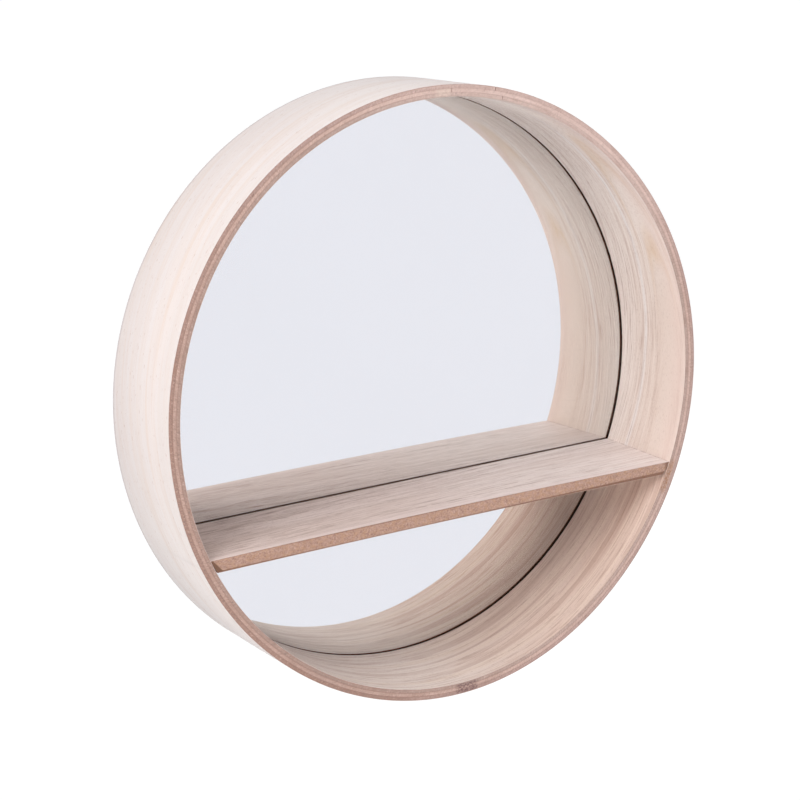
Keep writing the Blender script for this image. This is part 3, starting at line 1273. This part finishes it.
class MIRROR_OT_hangers(bpy.types.Operator):
    """Fold the straps, bend the rings and set the rivets"""

    bl_idname = "mirror.hangers"
    bl_label = "Hangers"

    def execute(self, context):
        hang = context.scene.mirror_hangers
        plated = metal_material("strap_finish", hang.brass, 5.0, 0.3)
        nickel = metal_material("ring_finish", hang.nickel, 7.0, 0.22)
        for side, x in (("left", -HANGER_X), ("right", HANGER_X)):
            add_piece("strap_" + side, *self.strap(hang, x), plated,
                      ["hanger_strap_" + side], "hanger_metal")
            add_piece("ring_" + side + "_wire", *self.ring(hang, x), nickel,
                      ["hanger_ring_" + side], "hanger_metal", "ring_" + side)
        rivets = [self.rivet(hang, x) for x in (-HANGER_X, HANGER_X)]
        add_piece("rivets_set", *gather(*rivets), plated, ["hanger_rivets"], "hanger_metal")
        return {"FINISHED"}

    def strap(self, hang, x):
        """A strip of sheet whose middle line runs up the board, round the wire's eye, and
        back down on itself; its width follows a half circle round the rivet at both ends."""
        tip_points, eye_points, neck_points = 15, 33, 9
        middle_r = WIRE_R + hang.play + hang.sheet / 2
        end_r = hang.strap_width / 2
        lower_y = -middle_r
        upper_y = lower_y + hang.sheet
        neck_y = upper_y + hang.neck
        neck_z = -math.sqrt((middle_r + hang.neck) ** 2 - neck_y ** 2)
        meet = math.atan2(neck_z, neck_y)
        tip = np.linspace(0, math.radians(86), tip_points)[::-1]
        tip_z = -hang.rivet_drop - end_r * np.sin(tip)
        tip_half = end_r * np.cos(tip)
        eye = np.linspace(math.pi, meet, eye_points)
        bend = np.linspace(meet + math.pi, math.pi, neck_points)
        path_y = np.concatenate([np.full(tip_points, lower_y), middle_r * np.cos(eye),
                                 neck_y + hang.neck * np.cos(bend),
                                 np.full(tip_points, upper_y)])
        path_z = np.concatenate([tip_z, middle_r * np.sin(eye),
                                 neck_z + hang.neck * np.sin(bend), tip_z[::-1]])
        half = np.concatenate([tip_half, np.full(eye_points + neck_points, end_r),
                               tip_half[::-1]])
        along = np.stack([np.gradient(path_y), np.gradient(path_z)], axis=1)
        along /= np.linalg.norm(along, axis=1)[:, None]
        section = np.sign(rounded_box(-1, 1, -1, 1, 0))
        corner = rounded_box(0, 0, 0, 0, 1) * hang.sheet_edge
        across = section[:, 0] * half[:, None] + corner[:, 0]
        thick = section[:, 1] * (hang.sheet / 2) + corner[:, 1]
        return capped(np.stack([
            x + across,
            PIVOT_Y + path_y[:, None] + along[:, 1:] * thick,
            PIVOT_Z + path_z[:, None] - along[:, :1] * thick,
        ], axis=2))

    def ring(self, hang, x):
        """A round wire swept along a D: bar, two quarter bends, two legs and a half circle."""
        half = high("hanger_ring_right").x - HANGER_X - WIRE_R
        corner = hang.ring_corner
        quarter = np.linspace(0, math.pi / 2, 13)
        bow = np.linspace(0, math.pi, 61)
        right_x = half - corner + corner * np.sin(quarter)
        right_z = -corner + corner * np.cos(quarter)
        bow_x = half * np.cos(bow)
        bow_z = -hang.rivet_drop - half * np.sin(bow)
        path = np.stack([np.concatenate([right_x, bow_x, -right_x[::-1], right_x[:1]]),
                         np.concatenate([right_z, bow_z, right_z[::-1], right_z[:1]])], axis=1)
        ahead = np.roll(path[:-1], -1, axis=0) - np.roll(path[:-1], 1, axis=0)
        ahead /= np.linalg.norm(ahead, axis=1)[:, None]
        ahead = np.concatenate([ahead, ahead[:1]])
        turn = np.linspace(0, TAU, WIRE_STEPS + 1)
        inwards = WIRE_R * np.cos(turn)
        points = np.stack([
            x + path[:, :1] - ahead[:, 1:] * inwards,
            np.repeat(PIVOT_Y + WIRE_R * np.sin(turn)[None], len(path), axis=0),
            PIVOT_Z + path[:, 1:] + ahead[:, :1] * inwards,
        ], axis=2)
        return points.reshape(-1, 3), grid_faces(*points.shape[:2])

    def rivet(self, hang, x):
        """A turned rivet: flare in the board, shank, and a head whose top is a sphere's cap."""
        strap_back = BOARD_BACK_Y + 2 * hang.sheet
        dome = high("hanger_rivets").y - strap_back
        head_r = hang.rivet_head / 2
        sphere_r = (head_r ** 2 + dome ** 2) / (2 * dome)
        rise = np.linspace(math.asin(head_r / sphere_r), 0, 9)
        cap = np.stack([sphere_r * np.sin(rise),
                        strap_back + dome - sphere_r + sphere_r * np.cos(rise)], axis=1)
        shank = hang.rivet_shank / 2
        stem = [(0, BOARD_FRONT_Y), (hang.rivet_flare / 2, BOARD_FRONT_Y),
                (shank, BOARD_FRONT_Y + hang.rivet_flare_depth), (shank, strap_back),
                (head_r, strap_back)]
        profile = np.concatenate([stem, cap[1:]])
        return turned(profile, (x, 0, PIVOT_Z - hang.rivet_drop), RIVET_STEPS)


class MIRROR_OT_stage(bpy.types.Operator):
    """Set the floor, the light and the camera"""

    bl_idname = "mirror.stage"
    bl_label = "Stage"

    def execute(self, context):
        stage = context.scene.mirror_stage
        self.camera(context.scene, stage)
        self.floor(stage)
        for name, azimuth, elevation, size in LAMPS:
            power = getattr(stage, name + "_power")
            self.light(name + "_light", power, math.radians(azimuth), math.radians(elevation), size)
        self.world(context.scene, stage)
        context.scene.view_settings.view_transform = "Standard"
        return {"FINISHED"}

    def direction(self, azimuth, elevation):
        """Unit vector from the mirror towards a camera or lamp at an azimuth and elevation."""
        flat = math.cos(elevation)
        return Vector((math.sin(azimuth) * flat, -math.cos(azimuth) * flat, math.sin(elevation)))

    def camera(self, scene, stage):
        """Looks at the front rim's centre from an azimuth and an elevation, rolled and set
        aside in its own image plane."""
        back = self.direction(stage.azimuth, stage.elevation)
        level = Vector((math.cos(stage.azimuth), math.sin(stage.azimuth), 0))
        right = math.cos(stage.roll) * level + math.sin(stage.roll) * back.cross(level)
        up = back.cross(right)
        data = bpy.data.cameras.new("camera")
        data.lens = stage.lens
        data.sensor_width = FILM_WIDTH
        data.clip_start = 50 * MM
        camera = add_object("camera", data)
        turn = Matrix((right, up, back)).transposed().to_4x4()
        place = stage.aside * right + stage.above * up + stage.distance * back
        camera.matrix_world = Matrix.Translation(place + Vector((0, FRONT_Y, 0))) @ turn
        scene.camera = camera

    def floor(self, stage):
        """A pale floor that the camera, reflections and glass see as white."""
        far = FLOOR_REACH
        corners = [(-far, -far), (far, -far), (far, far), (-far, far)]
        mesh = bpy.data.meshes.new("floor")
        mesh.from_pydata([(x, y, -stage.floor_drop) for x, y in corners], [], [(0, 1, 2, 3)])
        material, shader, place = start_material("floor_paint")
        set_finish(place, shader, rgba(FLOOR_GREY), 0.8, Specular_IOR_Level=0.0)
        camera, glossy, through = ray_kinds(place.tree)
        seen = (camera * 0.85).math("MAXIMUM", glossy.math("MAXIMUM", through))
        colour = studio_white(glossy, through)
        glow = place.add("ShaderNodeEmission", {0: colour, "Strength": camera * 0.16 + 1.0})
        blend = place.add("ShaderNodeMixShader", {0: seen, 2: glow})
        place.tree.links.new(blend.output.node.inputs[1], shader.outputs[0])
        surface = material.node_tree.nodes["Material Output"].inputs["Surface"]
        place.tree.links.new(surface, blend.output)
        mesh.materials.append(material)
        add_object("floor", mesh)

    def light(self, name, power, azimuth, elevation, size):
        """A soft square lamp that faces the mirror from an azimuth and an elevation."""
        back = self.direction(azimuth, elevation)
        data = bpy.data.lights.new(name, "AREA")
        data.energy = power
        data.size = size
        lamp = add_object(name, data)
        lamp.location = back * LAMP_DISTANCE
        lamp.rotation_euler = back.to_track_quat("Z", "Y").to_euler()
        lamp.visible_camera = False

    def world(self, scene, stage):
        """Even light all round, seen as white."""
        world = bpy.data.worlds.new("studio")
        world.use_nodes = True
        scene.world = world
        tree = world.node_tree
        background = tree.nodes["Background"]
        camera, glossy, through = ray_kinds(tree)
        seen = camera.math("MAXIMUM", glossy.math("MAXIMUM", through))
        strength = seen * (1 - stage.ambient) + stage.ambient
        tree.links.new(background.inputs["Strength"], strength.output)
        colour = studio_white(glossy, through)
        tree.links.new(background.inputs["Color"], colour.output)


class MIRROR_PT_panel(bpy.types.Panel):
    """Lists the steps that finish the mirror"""

    bl_idname = "MIRROR_PT_panel"
    bl_label = "Round Mirror"
    bl_space_type = "VIEW_3D"
    bl_region_type = "UI"
    bl_category = "Mirror"

    def draw(self, context):
        for step in STEPS:
            self.layout.operator(step.bl_idname)


SETTINGS = {
    "mirror_hoop": HoopSettings,
    "mirror_glass": MirrorSettings,
    "mirror_shelf": ShelfSettings,
    "mirror_back": BackSettings,
    "mirror_hangers": HangerSettings,
    "mirror_stage": StageSettings,
}
STEPS = (
    MIRROR_OT_veneers,
    MIRROR_OT_plies,
    MIRROR_OT_glass,
    MIRROR_OT_back,
    MIRROR_OT_shelf,
    MIRROR_OT_brads,
    MIRROR_OT_hangers,
    MIRROR_OT_stage,
)


def register():
    """Registers the settings, the operators and the panel."""
    for name, settings in SETTINGS.items():
        bpy.utils.register_class(settings)
        setattr(bpy.types.Scene, name, PointerProperty(type=settings))
    for step in (*STEPS, MIRROR_PT_panel):
        bpy.utils.register_class(step)


def unregister():
    """Takes back what register() added."""
    for step in (MIRROR_PT_panel, *reversed(STEPS)):
        bpy.utils.unregister_class(step)
    for name, settings in SETTINGS.items():
        delattr(bpy.types.Scene, name)
        bpy.utils.unregister_class(settings)


def main():
    """Makes every piece and the stage, and writes how large the model is."""
    register()
    bpy.ops.mirror.veneers()
    bpy.ops.mirror.plies()
    bpy.ops.mirror.glass()
    bpy.ops.mirror.back()
    bpy.ops.mirror.shelf()
    bpy.ops.mirror.brads()
    bpy.ops.mirror.hangers()
    bpy.ops.mirror.stage()


if __name__ == "__main__":
    main()
